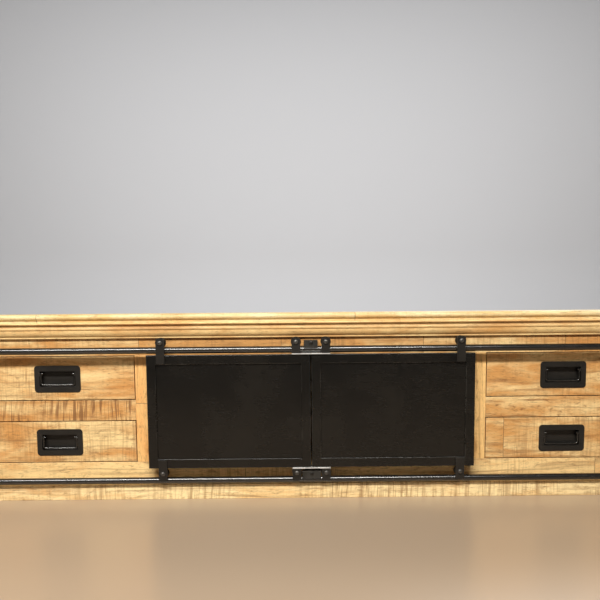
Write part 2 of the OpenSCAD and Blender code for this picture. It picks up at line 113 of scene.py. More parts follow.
lens = bpy.data.cameras.new("Camera")
lens.sensor_width = SENSOR_WIDTH
lens.lens = FOCAL_LENGTH
lens.shift_y = SHIFT_UP
camera = add_object("Camera", lens)
turned = Matrix.Rotation(-TURN_RIGHT, 4, "Z") @ Matrix.Rotation(math.pi / 2 - TILT_DOWN, 4, "X")
camera.matrix_world = Matrix.Translation(EYE) @ turned @ Matrix.Rotation(-ROLL, 4, "Z")
scene.camera = camera
print("camera:", [round(v, 3) for v in EYE])

# %% [markdown]
# ## Studio
# A round bowl of plain pale card stands in for a room: a flat floor that curves up into a wall, so every
# side of the cabinet has the same quiet background. One outline, turned about the vertical, gives both.
# %% Floor and wall
BOWL_STEPS = 96


def plain(name, colour, roughness):
    """A plain material for the card of the studio."""
    made = bpy.data.materials.new(name)
    made.use_nodes = True
    shader = made.node_tree.nodes["Principled BSDF"]
    shader.inputs["Base Color"].default_value = (*colour, 1)
    shader.inputs["Roughness"].default_value = roughness
    return made


def as_mesh(shape, name):
    """A bmesh turned into a mesh, and freed."""
    mesh = bpy.data.meshes.new(name)
    shape.to_mesh(mesh)
    shape.free()
    return mesh


def bowl(name, rings, finish):
    """A surface of revolution about Z: rings are (radius, height) pairs."""
    shape = bmesh.new()
    loops = []
    for radius, height in rings:
        turn = [2 * math.pi * i / BOWL_STEPS for i in range(BOWL_STEPS)]
        loops.append([shape.verts.new((radius * math.cos(a), radius * math.sin(a), height)) for a in turn])
    for inner, outer in zip(loops, loops[1:]):
        for i in range(BOWL_STEPS):
            j = (i + 1) % BOWL_STEPS
            shape.faces.new((inner[i], inner[j], outer[j], outer[i]))
    if rings[0][0] < 0.1:
        shape.faces.new(loops[0])
    bmesh.ops.recalc_face_normals(shape, faces=shape.faces)
    mesh = as_mesh(shape, name)
    for face in mesh.polygons:
        face.use_smooth = True
    mesh.materials.append(finish)
    made = add_object(name, mesh)
    made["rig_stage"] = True


FLOOR_RADIUS, CURVE_RADIUS, WALL_HEIGHT = 3.5, 0.9, 3.6
curve = [math.pi / 2 * i / 12 for i in range(13)]
BOWL = [(0.05, 0), (1.5, 0), (FLOOR_RADIUS, 0)]
BOWL += [(FLOOR_RADIUS + CURVE_RADIUS * math.sin(a), CURVE_RADIUS * (1 - math.cos(a))) for a in curve[1:]]
BOWL += [(FLOOR_RADIUS + CURVE_RADIUS, WALL_HEIGHT)]
bowl("floor", BOWL[:3], plain("pale floor", colour=(0.46, 0.348, 0.245), roughness=0.28))
bowl("backdrop", BOWL[2:], plain("pale wall", colour=(0.495, 0.50, 0.515), roughness=0.8))
print("studio: bowl of", len(BOWL), "rings")

# %% [markdown]
# ## Lights
# One long strip light in front and above works like a wide window. It is thin in height, so the rods cast
# crisp bands of shadow, and wide from side to side, so it draws a long highlight on them. Two plainer
# lights wash the wall and the back of the cabinet.
# %% Lights
def soft_light(name, place, aim, width, height, watts, spread, colour=(1, 1, 1)):
    """A rectangular light at place, turned to face aim. spread is the full angle of its beam."""
    lamp = bpy.data.lights.new(name, "AREA")
    lamp.shape = "RECTANGLE"
    lamp.size = width
    lamp.size_y = height
    lamp.energy = watts
    lamp.color = colour
    lamp.spread = math.radians(spread)
    made = add_object(name, lamp)
    made.location = place
    made.rotation_euler = (Vector(aim) - Vector(place)).to_track_quat("-Z", "Y").to_euler()
    made.visible_camera = False


WARM_DAYLIGHT = (1.0, 0.965, 0.91)
AIR_COLOUR, AIR_STRENGTH = (0.72, 0.76, 0.82, 1), 0.015
soft_light(
    "window strip", (-0.53, -2.45, 2.50), aim=(-0.2, -0.17, 0.2), width=2.9, height=0.24, watts=54,
    spread=100, colour=WARM_DAYLIGHT,
)
soft_light("wall wash", (0.0, 0.9, 3.4), aim=(0.0, 4.4, 0.9), width=3.5, height=0.4, watts=76, spread=110)
soft_light("back light", (1.6, 2.6, 2.6), aim=(0, 0.2, 0.2), width=2.0, height=0.8, watts=30, spread=120)
world = bpy.data.worlds.new("Studio air")
world.use_nodes = True
air = world.node_tree.nodes["Background"].inputs
air["Color"].default_value = AIR_COLOUR
air["Strength"].default_value = AIR_STRENGTH
scene.world = world
print("lights:", [light.name for light in bpy.data.lights])

# %% [markdown]
# ## Small helpers for node trees
# Every finish below is a graph of nodes. These helpers keep that graph readable: a value given to them may
# be a plain number or the output of another node. They work in shader trees and in Geometry Nodes trees
# alike, so the same recipe can colour a board and carve it.
# %% Sums and vectors
def feed(tree, socket, value):
    """Links value to the socket if it is an output, or sets it as a plain value."""
    if isinstance(value, bpy.types.NodeSocket):
        tree.links.new(value, socket)
    else:
        socket.default_value = value


def add_node(tree, kind, **inputs):
    """A new node with its inputs fed. An underscore in a name stands for a space."""
    made = tree.nodes.new(kind)
    for label, value in inputs.items():
        feed(tree, made.inputs[label.replace("_", " ")], value)
    return made


def node_sum(tree, kind, operation, values):
    """The result of a node that reckons with values."""
    made = tree.nodes.new(kind)
    made.operation = operation
    for socket, value in zip(made.inputs, values):
        feed(tree, socket, value)
    return made.outputs[0]


def maths(tree, operation, *values):
    """A Math node's result."""
    return node_sum(tree, "ShaderNodeMath", operation, values)


def vector_maths(tree, operation, *values):
    """A Vector Math node's vector result."""
    return node_sum(tree, "ShaderNodeVectorMath", operation, values)


def plus(tree, first, second):
    """Two values added."""
    return maths(tree, "ADD", first, second)


def minus(tree, first, second):
    """The first value less the second."""
    return maths(tree, "SUBTRACT", first, second)


def times(tree, first, second):
    """Two values multiplied."""
    return maths(tree, "MULTIPLY", first, second)


def parts_of(tree, vector):
    """The x, y and z of a vector."""
    return add_node(tree, "ShaderNodeSeparateXYZ", Vector=vector).outputs


def vector_of(tree, x, y, z):
    """A vector from three values."""
    return add_node(tree, "ShaderNodeCombineXYZ", X=x, Y=y, Z=z).outputs[0]


print("sums and vectors ready")

# %% [markdown]
# Noise is the raw stuff of every pattern here. A ramp picks out a part of its range as a soft-edged share,
# and a blend lays one colour over another by that share.
# %% Noise, ramps and blends
def cloud(tree, vector, stretch, detail=2.0, roughness=0.5, distortion=0.0):
    """Noise from 0 to 1 whose spots are 1 / stretch metres long in x, y and z."""
    place = vector_maths(tree, "MULTIPLY", vector, stretch)
    return add_node(
        tree, "ShaderNodeTexNoise", Vector=place, Scale=1.0, Detail=detail, Roughness=roughness,
        Distortion=distortion,
    ).outputs[0]


def ramp(tree, value, low, high, to_low=0.0, to_high=1.0):
    """Value eased from [low, high] to [to_low, to_high], and held beyond it."""
    made = add_node(
        tree, "ShaderNodeMapRange", Value=value, From_Min=low, From_Max=high, To_Min=to_low, To_Max=to_high,
    )
    made.interpolation_type = "SMOOTHSTEP"
    return made.outputs[0]


def blend(tree, share, first, second, mode="MIX"):
    """Two colours mixed by share."""
    made = tree.nodes.new("ShaderNodeMix")
    made.data_type = "RGBA"
    made.blend_type = mode
    colours = [socket for socket in made.inputs if socket.type == "RGBA"]
    feed(tree, made.inputs[0], share)
    feed(tree, colours[0], first)
    feed(tree, colours[1], second)
    return next(socket for socket in made.outputs if socket.type == "RGBA")


print("noise, ramps and blends ready")

# %% [markdown]
# A group is a recipe that is built once and used in many materials. Its sockets are named, so each use can
# set its own values.
# %% Groups and colours
def new_group(name, kind, inputs, outputs):
    """An empty node group with named sockets, and the sockets inside it."""
    group = bpy.data.node_groups.new(name, kind)
    for label, (socket_type, value) in inputs.items():
        socket = group.interface.new_socket(label, in_out="INPUT", socket_type=socket_type)
        if value is not None:
            socket.default_value = value
    for label, socket_type in outputs.items():
        group.interface.new_socket(label, in_out="OUTPUT", socket_type=socket_type)
    return group, group.nodes.new("NodeGroupInput").outputs, group.nodes.new("NodeGroupOutput").inputs


def use_group(tree, group, **values):
    """Places a group in a tree and sets its inputs."""
    made = tree.nodes.new("ShaderNodeGroup")
    made.node_tree = group
    for label, value in values.items():
        feed(tree, made.inputs[label], value)
    return made.outputs


def paint(red, green, blue):
    """A colour as paint charts give it, 0 to 255, in the linear values that light works in."""
    return (*[((c / 255 + 0.055) / 1.055) ** 2.4 for c in (red, green, blue)], 1)


FLOAT, WHOLE = "NodeSocketFloat", "NodeSocketInt"
VECTOR, COLOUR = "NodeSocketVector", "NodeSocketColor"
print("groups and colours ready")

# %% [markdown]
# ## Saw marks
# Rough-sawn mango wood keeps the marks of the band saw: dark, slightly hollow lines right across the board,
# a few millimetres apart, in patches where the planer didn't reach. The pattern is one recipe used twice.
# The finish uses it for the dark colour, and a Geometry Nodes tree uses it to press the marks into the
# mesh, so colour and shape always agree.
# %% The saw-mark recipe
def saw_marks(tree, vector, seed):
    """Marks from 0 to 1. The grain runs along x, and the marks run across it."""
    shift = vector_of(tree, seed, times(tree, seed, 0.37), seed)
    shifted = vector_maths(tree, "ADD", vector, shift)
    bow = times(tree, cloud(tree, shifted, (3.0, 8.0, 8.0), 1.0), 0.012)
    leaning = vector_maths(tree, "ADD", shifted, vector_of(tree, bow, 0.0, 0.0))
    wide = cloud(tree, leaning, (145.0, 5.0, 9.0), 2.0, 0.6)
    fine = cloud(tree, leaning, (330.0, 6.0, 13.0), 1.0, 0.5)
    patch = ramp(tree, cloud(tree, shifted, (5.5, 7.0, 9.0), 2.0), 0.38, 0.62, 0.12, 1.0)
    lines = plus(tree, ramp(tree, wide, 0.48, 0.68), ramp(tree, fine, 0.50, 0.72, 0.0, 0.6))
    return times(tree, maths(tree, "MINIMUM", lines, 1.0), patch)


GRAIN_TURN = {"x": (0, 0, 0), "z": (0, math.pi / 2, 0), "y": (0, 0, -math.pi / 2)}
print("saw marks: grain may run along", ", ".join(GRAIN_TURN))

# %% [markdown]
# ## Worn edges
# Handling rubs the finish off the sharp edges first. Each piece carries a value called edge that is one on
# its eased edges and nought on its flats, and this group turns it into an uneven mask for any material.
# %% Worn-edge group
EDGE_WEAR, wear_in, wear_out = new_group(
    "Worn edges", "ShaderNodeTree",
    {"Vector": (VECTOR, None), "Edge": (FLOAT, 0.0), "Amount": (FLOAT, 0.5)},
    {"Mask": FLOAT},
)
rubbed = ramp(EDGE_WEAR, cloud(EDGE_WEAR, wear_in["Vector"], (38.0, 38.0, 38.0), 3.0, 0.6), 0.38, 0.66)
on_edge = times(EDGE_WEAR, wear_in["Edge"], rubbed)
feed(EDGE_WEAR, wear_out["Mask"], times(EDGE_WEAR, on_edge, wear_in["Amount"]))
print("group:", EDGE_WEAR.name)

# %% [markdown]
# ## Mango wood
# Mango is a golden hardwood with a lively figure: cream and honey clouds along the grain, orange-brown
# blotches, a few small knots and short fibres. Long rails are finger-jointed from shorter staves, each a
# little different in tone, with a thin dark line at the joint. Start says where the first joint falls.
# Solid noise is used instead of a flat picture, so the figure runs through the board and meets at its
# edges as it does in real wood.
# %% Wood group
WOOD, wood_in, wood_out = new_group(
    "Mango wood", "ShaderNodeTree",
    {
        "Vector": (VECTOR, None), "Seed": (FLOAT, 0.0), "Saw": (FLOAT, 0.4), "Stave": (FLOAT, 0.5),
        "Start": (FLOAT, 0.0), "Plank": (FLOAT, 10.0), "Figure": (FLOAT, 1.0), "Knots": (FLOAT, 1.0),
        "Tone": (FLOAT, 0.0), "Cream": (COLOUR, paint(244, 214, 154)),
        "Honey": (COLOUR, paint(208, 153, 87)), "Amber": (COLOUR, paint(210, 142, 70)),
        "Brown": (COLOUR, paint(142, 96, 50)), "Umber": (COLOUR, paint(84, 52, 25)),
    },
    {"Color": COLOUR, "Roughness": FLOAT, "Height": FLOAT},
)
print("group:", WOOD.name, "with", len(wood_in) - 1, "inputs")

# %% [markdown]
# First the recipe finds where a point lies: in which plank, and in which stave of it. A random number moves
# every stave to its own stretch of the noise, so neighbours never share their figure. The grain then gets
# a slow bend, since no tree grows quite straight.
# %% Staves and grain
def stave_lines(tree, given):
    """How many staves along and planks across a point lies, and its row of planks."""
    x, y, _ = parts_of(tree, given["Vector"])
    plank = plus(tree, maths(tree, "DIVIDE", y, given["Plank"]), 0.5)
    row = maths(tree, "FLOOR", plank)
    from_start = maths(tree, "DIVIDE", minus(tree, x, given["Start"]), given["Stave"])
    return plus(tree, from_start, times(tree, row, 0.37)), plank, row


def grain_place(tree, given, stave, row):
    """The stave's random number, and its place in the noise before and after the grain bends."""
    offset = vector_of(tree, *[times(tree, given["Seed"], share) for share in (7.13, 0.9, 5.3)])
    place = vector_maths(tree, "ADD", given["Vector"], offset)
    turn = plus(tree, maths(tree, "FLOOR", stave), given["Seed"])
    chance = add_node(tree, "ShaderNodeTexWhiteNoise", Vector=vector_of(tree, turn, row, 0.0))
    chance.noise_dimensions = "2D"
    own = chance.outputs["Value"]
    spread = vector_of(tree, times(tree, own, 3.1), times(tree, own, 1.7), own)
    inside = vector_maths(tree, "ADD", place, spread)
    bend = times(tree, minus(tree, cloud(tree, inside, (2.2, 9.0, 9.0), 2.0), 0.5), 0.06)
    return own, inside, vector_maths(tree, "ADD", inside, vector_of(tree, 0.0, bend, bend))


print("staves and grain ready")

# %% [markdown]
# Colour is laid on from light to dark, as a painter would: cream and honey clouds, brown streaks, amber
# blotches, brown mottle, dark pores, and at last the fine shade of the fibres. Knots are the rare cells of
# a Voronoi pattern.
# %% Figure and knots
def stained(tree, colour, share, strength, stain):
    """A colour with a stain laid over it."""
    return blend(tree, times(tree, share, strength), colour, stain)


def figure(tree, given, own, inside, grain):
    """The board's colour, and the streaks, rings and fibres that its surface needs as well."""
    clouds = cloud(tree, grain, (6.0, 26.0, 26.0), 4.0, 0.6, 0.3)
    rings = cloud(tree, grain, (3.2, 95.0, 95.0), 3.0, 0.55, 0.5)
    fibres = cloud(tree, grain, (36.0, 1100.0, 1100.0), 2.0, 0.6)
    flecks = cloud(tree, grain, (60.0, 420.0, 420.0), 2.0, 0.6)
    blotches = cloud(tree, inside, (7.5, 22.0, 22.0), 3.0, 0.65, 0.6)
    spots = cloud(tree, inside, (42.0, 120.0, 120.0), 3.0, 0.7, 0.5)

    tone = plus(tree, clouds, times(tree, minus(tree, own, 0.5), 0.16))
    tone = plus(tree, tone, given["Tone"])
    colour = blend(tree, ramp(tree, tone, 0.34, 0.66), given["Cream"], given["Honey"])
    streak = times(tree, ramp(tree, rings, 0.50, 0.72), given["Figure"])
    colour = stained(tree, colour, streak, 0.58, given["Brown"])
    colour = stained(tree, colour, ramp(tree, blotches, 0.50, 0.74), 0.62, given["Amber"])
    mottle = times(tree, ramp(tree, spots, 0.52, 0.72), given["Figure"])
    colour = stained(tree, colour, mottle, 0.50, given["Brown"])
    colour = stained(tree, colour, ramp(tree, flecks, 0.56, 0.74), 0.42, given["Umber"])
    shade = ramp(tree, fibres, 0.3, 0.7, 0.88, 1.06)
    colour = blend(tree, 1.0, colour, vector_of(tree, shade, shade, shade), "MULTIPLY")
    return colour, streak, rings, fibres


def knots(tree, given, grain):
    """Knots from 0 to 1."""
    place = vector_maths(tree, "MULTIPLY", grain, (7.0, 13.0, 13.0))
    cells = add_node(tree, "ShaderNodeTexVoronoi", Vector=place, Scale=1.0)
    rare = ramp(tree, parts_of(tree, cells.outputs["Color"])[0], 0.72, 0.78)
    near = ramp(tree, cells.outputs["Distance"], 0.02, 0.11, 1.0, 0.0)
    return times(tree, times(tree, near, rare), given["Knots"])


print("figure and knots ready")

# %% [markdown]
# Saw marks and joints come last. Both are dark and hollow, so they stain the colour and also lower the
# height that gives the surface its small relief. A sawn patch is rougher than a planed one.
# %% Wood recipe
def wood_recipe(tree, given, out):
    """Fills the wood group."""
    stave, plank, row = stave_lines(tree, given)
    own, inside, grain = grain_place(tree, given, stave, row)
    colour, streak, rings, fibres = figure(tree, given, own, inside, grain)
    colour = stained(tree, colour, knots(tree, given, grain), 0.75, given["Umber"])

    marks = times(tree, saw_marks(tree, given["Vector"], given["Seed"]), given["Saw"])
    marks = maths(tree, "MINIMUM", marks, 1.0)
    colour = stained(tree, colour, marks, 0.76, given["Brown"])
    colour = blend(tree, ramp(tree, marks, 0.55, 1.0, 0.0, 0.30), colour, given["Umber"])

    across = times(tree, maths(tree, "PINGPONG", stave, 0.5), given["Stave"])
    along = times(tree, maths(tree, "PINGPONG", plank, 0.5), given["Plank"])
    joint = ramp(tree, maths(tree, "MINIMUM", across, along), 0.0002, 0.0011, 1.0, 0.0)
    feed(tree, out["Color"], stained(tree, colour, joint, 0.72, given["Umber"]))

    rough = plus(tree, 0.46, times(tree, rings, 0.16))
    feed(tree, out["Roughness"], plus(tree, rough, times(tree, marks, 0.14)))
    hollow = plus(tree, times(tree, marks, 0.8), times(tree, joint, 0.8))
    relief = minus(tree, times(tree, fibres, 0.25), hollow)
    feed(tree, out["Height"], minus(tree, relief, times(tree, streak, 0.15)))


wood_recipe(WOOD, wood_in, wood_out)
print("group:", WOOD.name, "with", len(WOOD.nodes), "nodes")

# %% [markdown]
# Each board gets a material of its own from that group, with its own seed, so no two boards repeat. The
# grain direction turns the pattern, and the groove value of a moulding darkens its hollows with painted
# shade.
# %% Wood materials
def start_material(name, grain="x"):
    """A new material, its tree, its Principled shader and the turned Object coordinates."""
    made = bpy.data.materials.new(name)
    made.use_nodes = True
    tree = made.node_tree
    place = tree.nodes.new("ShaderNodeTexCoord").outputs["Object"]
    turn = add_node(tree, "ShaderNodeMapping", Vector=place, Rotation=GRAIN_TURN[grain])
    return made, tree, tree.nodes["Principled BSDF"], turn.outputs["Vector"]


def attribute(tree, name):
    """A value that the mesh carries."""
    made = tree.nodes.new("ShaderNodeAttribute")
    made.attribute_name = name
    return made.outputs["Fac"]


def bumped(tree, shader, height, distance):
    """Feeds a height through a Bump node to the shader's normal."""
    bump = add_node(tree, "ShaderNodeBump", Strength=1.0, Distance=distance, Height=height)
    feed(tree, shader.inputs["Normal"], bump.outputs["Normal"])


def wood_finish(name, grain, seed, saw=0.4, wear=0.5, groove=0.0, bump=0.25 * MM, **looks):
    """A wood material: looks may set any other input of the wood group."""
    made, tree, shader, place = start_material(name, grain)
    wood = use_group(tree, WOOD, Vector=place, Seed=seed, Saw=saw, **looks)
    worn = use_group(tree, EDGE_WEAR, Vector=place, Edge=attribute(tree, "edge"), Amount=wear)
    colour = blend(tree, worn["Mask"], wood["Color"], paint(240, 208, 150))
    # The groove value paints shade into a moulding's hollows.
    if groove:
        dark = times(tree, attribute(tree, "groove"), groove)
        colour = blend(tree, dark, colour, paint(78, 48, 22))
    feed(tree, shader.inputs["Base Color"], colour)
    feed(tree, shader.inputs["Roughness"], wood["Roughness"])
    bumped(tree, shader, wood["Height"], bump)
    return made


print("wood materials ready")

# %% [markdown]
# ## Iron, steel and plastic
# The doors, straps, rods and pulls are mild steel under a satin black coat. Such a coat isn't one flat
# black: it is faintly mottled, a little rough like orange peel, and thin on the edges, where grey metal
# shows. The same group serves the black plastic grommets of the back.
# %% Black coat group
COAT, coat_in, coat_out = new_group(
    "Black coat", "ShaderNodeTree",
    {
        "Vector": (VECTOR, None), "Colour": (COLOUR, paint(25, 23, 20)),
        "Faded": (COLOUR, paint(38, 34, 29)), "Mottle": (FLOAT, 0.5), "Gloss": (FLOAT, 0.40),
    },
    {"Color": COLOUR, "Roughness": FLOAT, "Height": FLOAT},
)


def swing(tree, value, amount):
    """Noise centred on nought, and made amount wide."""
    return times(tree, minus(tree, value, 0.5), amount)


def coat_recipe(tree, given, out):
    """Fills the black-coat group."""
    patches = cloud(tree, given["Vector"], (9.0, 9.0, 9.0), 4.0, 0.6, 0.4)
    specks = cloud(tree, given["Vector"], (260.0, 260.0, 260.0), 2.0, 0.6)
    peel = cloud(tree, given["Vector"], (620.0, 620.0, 620.0), 2.0, 0.5)
    wiped = cloud(tree, given["Vector"], (30.0, 30.0, 210.0), 2.0, 0.5)
    fade = times(tree, ramp(tree, patches, 0.35, 0.7), given["Mottle"])
    colour = blend(tree, fade, given["Colour"], given["Faded"])
    colour = stained(tree, colour, ramp(tree, specks, 0.62, 0.8), 0.35, given["Faded"])
    feed(tree, out["Color"], colour)
    uneven = plus(tree, swing(tree, patches, 0.26), swing(tree, wiped, 0.12))
    feed(tree, out["Roughness"], plus(tree, given["Gloss"], uneven))
    feed(tree, out["Height"], plus(tree, peel, times(tree, patches, 0.6)))


coat_recipe(COAT, coat_in, coat_out)
print("group:", COAT.name, "with", len(COAT.nodes), "nodes")

# %% [markdown]
# Each coated part gets its own values of that group: the doors are the darkest and smoothest, and the rods
# have a thin lacquer on top that draws one long highlight. Bare steel has no coat, so it is metal all over,
# with fine drawn lines along it.
# %% Metal finishes
def coat_finish(name, wear=0.6, bump=0.06 * MM, lacquer=0.0, **looks):
    """A black coated metal, or a moulded plastic when wear is nought."""
    made, tree, shader, place = start_material(name)
    shader.inputs["Coat Weight"].default_value = lacquer
    shader.inputs["Coat Roughness"].default_value = 0.2
    coat = use_group(tree, COAT, Vector=place, **looks)
    worn = use_group(tree, EDGE_WEAR, Vector=place, Edge=attribute(tree, "edge"), Amount=wear)
    feed(tree, shader.inputs["Base Color"], blend(tree, worn["Mask"], coat["Color"], paint(128, 124, 116)))
    feed(tree, shader.inputs["Roughness"], coat["Roughness"])
    if wear:
        feed(tree, shader.inputs["Metallic"], times(tree, worn["Mask"], 0.8))
    bumped(tree, shader, coat["Height"], bump)
    return made


def steel_finish(name, colour, metallic, gloss):
    """Bare or plated steel with fine drawn lines and dull patches."""
    made, tree, shader, place = start_material(name)
    patches = cloud(tree, place, (55.0, 55.0, 55.0), 3.0, 0.6)
    lines = cloud(tree, place, (30.0, 900.0, 900.0), 2.0, 0.6)
    bright = paint(*colour)
    dull = tuple(0.62 * c for c in bright[:3]) + (1,)
    feed(tree, shader.inputs["Base Color"], blend(tree, ramp(tree, patches, 0.35, 0.8), bright, dull))
    feed(tree, shader.inputs["Roughness"], plus(tree, gloss, swing(tree, lines, 0.3)))
    shader.inputs["Metallic"].default_value = metallic
    bumped(tree, shader, lines, 0.02 * MM)
    return made


IRON = coat_finish("black iron")
DOOR_IRON = coat_finish(
    "door iron", wear=0.2, Colour=paint(15, 14, 12), Faded=paint(25, 22, 17), Gloss=0.27,
)
ROD_STEEL = coat_finish(
    "rod steel", wear=0.3, bump=0.015 * MM, lacquer=0.9, Colour=paint(21, 20, 18), Gloss=0.26, Mottle=0.3,
)
BRACKET_IRON = coat_finish(
    "bracket iron", wear=1.0, Colour=paint(32, 31, 28), Faded=paint(58, 56, 52), Mottle=0.9,
)
PLASTIC = coat_finish(
    "black plastic", wear=0.0, Colour=paint(30, 30, 31), Faded=paint(40, 40, 41), Mottle=0.2,
)
BOLT_STEEL = steel_finish("dark bolt steel", (96, 94, 90), metallic=0.6, gloss=0.44)
BARE_STEEL = steel_finish("bare steel", (205, 203, 197), metallic=0.85, gloss=0.36)
# The feet's near-white colour is a painted highlight for the glint of the light on the plates.
PAINTED_GLINT_STEEL = steel_finish("steel feet with painted glint", (232, 232, 230), metallic=0.35, gloss=0.34)
print("metals:", [m.name for m in (IRON, DOOR_IRON, ROD_STEEL, BRACKET_IRON, BOLT_STEEL, BARE_STEEL)])

# %% [markdown]
# ## From a frame node to a finished piece
# A board from the frame has knife-sharp corners. A joiner eases every edge, and light catching that small
# round is what makes wood or steel look solid. The copy is welded, its flats become single faces, and all
# its sharp edges are bevelled. The round faces are marked with the edge value that the finishes read.
# %% Easing edges
def clean_copy(node):
    """A welded copy of a frame node's mesh, with each flat as one face."""
    shape = bmesh.new()
    shape.from_mesh(NODES[node].data)
    bmesh.ops.remove_doubles(shape, verts=shape.verts, dist=1e-6)
    bmesh.ops.dissolve_limit(shape, angle_limit=math.radians(0.5), verts=shape.verts, edges=shape.edges)
    return shape


def ease_edges(shape, ease, segments=2, sharp=40, chosen=None):
    """Rounds the sharp edges and marks the round faces."""
    edge_value = shape.loops.layers.float.new("edge")
    limit = math.radians(sharp)
    edges = [e for e in shape.edges if e.is_manifold and e.calc_face_angle(0) > limit]
    if chosen:
        edges = [e for e in edges if chosen(e)]
    made = bmesh.ops.bevel(
        shape, geom=edges, offset=ease, offset_type="OFFSET", segments=segments, profile=0.5,
        affect="EDGES", clamp_overlap=True,
    )
    for face in made["faces"]:
        for loop in face.loops:
            loop[edge_value] = 1.0
    return shape


print("easing ready")

# %% [markdown]
# A finished piece sits at the origin with its place in its mesh. Rounds are shaded smooth, and a Weighted
# Normal modifier keeps the light even on the flats between them. Then the piece takes the place of its
# frame node and rides on the same body.
# %% Finished pieces
def finish_mesh(shape, name, materials, crease=50):
    """Turns a bmesh into an object at the origin, smooth on its rounds and flat on its flats."""
    mesh = as_mesh(shape, name)
    for face in mesh.polygons:
        face.use_smooth = True
    mesh.set_sharp_from_angle(angle=math.radians(crease))
    for material in materials:
        mesh.materials.append(material)
    made = add_object(name, mesh)
    flats = made.modifiers.new("Even light on flats", "WEIGHTED_NORMAL")
    flats.keep_sharp = True
    return made


def settle(piece, nodes):
    """Makes a finished piece stand for its frame nodes and ride on their body."""
    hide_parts(*nodes)
    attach(piece, NODES[nodes[0]]["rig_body"])
    return piece


def node_piece(shape, node, materials, crease=50):
    """A finished piece for one frame node, from its shape."""
    return settle(finish_mesh(shape, node + "_piece", materials, crease), [node])


def eased_piece(node, ease, material, slot, **easing):
    """A frame node with eased edges and its finish."""
    return node_piece(ease_edges(clean_copy(node), ease, **easing), node, [material])


print("pieces can be finished")

# %% [markdown]
# ## Geometry Nodes on a mesh
# A Geometry Nodes tree can carve a board, set screws or sweep a bar. Each tree ends in the same two nodes,
# which turn its instances into real mesh and give it its finish. To run a tree, its inputs are set on a
# modifier, and the evaluated result is kept as a plain mesh.
# %% Starting, ending and running a tree
def start_tree(name, **inputs):
    """An empty tree that takes a mesh, its own inputs and a finish."""
    given = {"Geometry": ("NodeSocketGeometry", None), **inputs, "Finish": ("NodeSocketMaterial", None)}
    return new_group(name, "GeometryNodeTree", given, {"Geometry": "NodeSocketGeometry"})


def end_tree(tree, geometry, given, out):
    """Ends a tree in Realize Instances and Set Material."""
    real = add_node(tree, "GeometryNodeRealizeInstances", Geometry=geometry).outputs[0]
    finish = add_node(tree, "GeometryNodeSetMaterial", Geometry=real, Material=given["Finish"])
    feed(tree, out["Geometry"], finish.outputs["Geometry"])
    return tree


def evaluated_mesh(thing):
    """What an object's modifiers make of its mesh."""
    return bpy.data.meshes.new_from_object(thing.evaluated_get(bpy.context.evaluated_depsgraph_get()))


def grow(name, mesh, tree, **values):
    """Runs a tree on a mesh and returns the result as a bmesh."""
    holder = add_object(name + "_holder", mesh)
    modifier = holder.modifiers.new("Tree", "NODES")
    modifier.node_group = tree
    sockets = {item.name: item.identifier for item in tree.interface.items_tree if item.in_out == "INPUT"}
    for label, value in values.items():
        modifier[sockets[label]] = value
    shape = bmesh.new()
    shape.from_mesh(evaluated_mesh(holder))
    holder.modifiers.remove(modifier)
    bpy.data.objects.remove(holder)
    return shape


print("trees can be run")

# %% [markdown]
# ## Sawn boards
# The boards that face the room keep their saw marks. Each is cut into narrow rings across its grain, and a
# tree presses those rings inwards by a fraction of a millimetre where the recipe says that the saw has
# left a mark. The tree has its sizes as named inputs, so one tree serves every board.
# %% Saw-relief tree
def relief_tree():
    """Geometry Nodes: presses saw marks into a mesh that has rings across its grain."""
    tree, given, out = start_tree("Saw relief", Seed=(FLOAT, 0.0), Depth=(FLOAT, 0.2 * MM))
    marks = saw_marks(tree, tree.nodes.new("GeometryNodeInputPosition").outputs[0], given["Seed"])
    depth = times(tree, times(tree, marks, given["Depth"]), -1.0)
    inward = tree.nodes.new("ShaderNodeVectorMath")
    inward.operation = "SCALE"
    feed(tree, inward.inputs[0], tree.nodes.new("GeometryNodeInputNormal").outputs[0])
    feed(tree, inward.inputs["Scale"], depth)
    press = add_node(tree, "GeometryNodeSetPosition", Geometry=given["Geometry"], Offset=inward.outputs[0])
    return end_tree(tree, press.outputs["Geometry"], given, out)


SAW_RELIEF = relief_tree()
print("tree:", SAW_RELIEF.name)

# %% [markdown]
# The rings are 1.5 mm apart, fine enough for marks a few millimetres wide. Only edges along the grain are
# divided, so each ring is a clean loop around the board. A pocket is cut with a block as the cutter.
# %% Blocks, rings and pockets
RING = 1.5 * MM


def box_shape(low, high):
    """A plain block between two corners."""
    shape = bmesh.new()
    size = high - low
    bmesh.ops.create_cube(shape, size=1.0)
    for vertex in shape.verts:
        vertex.co = Vector([(low[i] + high[i]) / 2 + vertex.co[i] * size[i] for i in range(3)])
    return shape


def run_of(edge):
    """The step from one end of an edge to the other."""
    return edge.verts[1].co - edge.verts[0].co


def ring_across(shape):
    """Divides every long edge that runs along X, all by the same number."""
    long_edges = []
    for edge in shape.edges:
        run = run_of(edge)
        if run.length > 20 * RING and abs(run.x) > 0.7 * run.length:
            long_edges.append(edge)
    cuts = int(min(e.calc_length() for e in long_edges) / RING)
    bmesh.ops.subdivide_edges(shape, edges=long_edges, cuts=cuts, use_grid_fill=True)
    return cuts


def take_out(piece, block):
    """Cuts a block out of a piece, while its other modifiers wait."""
    cutter = add_object("cutter", as_mesh(block, "cutter"))
    waiting = list(piece.modifiers)
    for modifier in waiting:
        modifier.show_viewport = False
    cut = piece.modifiers.new("Cut", "BOOLEAN")
    cut.operation = "DIFFERENCE"
    cut.solver = "EXACT"
    cut.object = cutter
    made = evaluated_mesh(piece)
    piece.modifiers.remove(cut)
    for modifier in waiting:
        modifier.show_viewport = True
    piece.data = made
    bpy.data.objects.remove(cutter)


print("rings every", RING, "m")

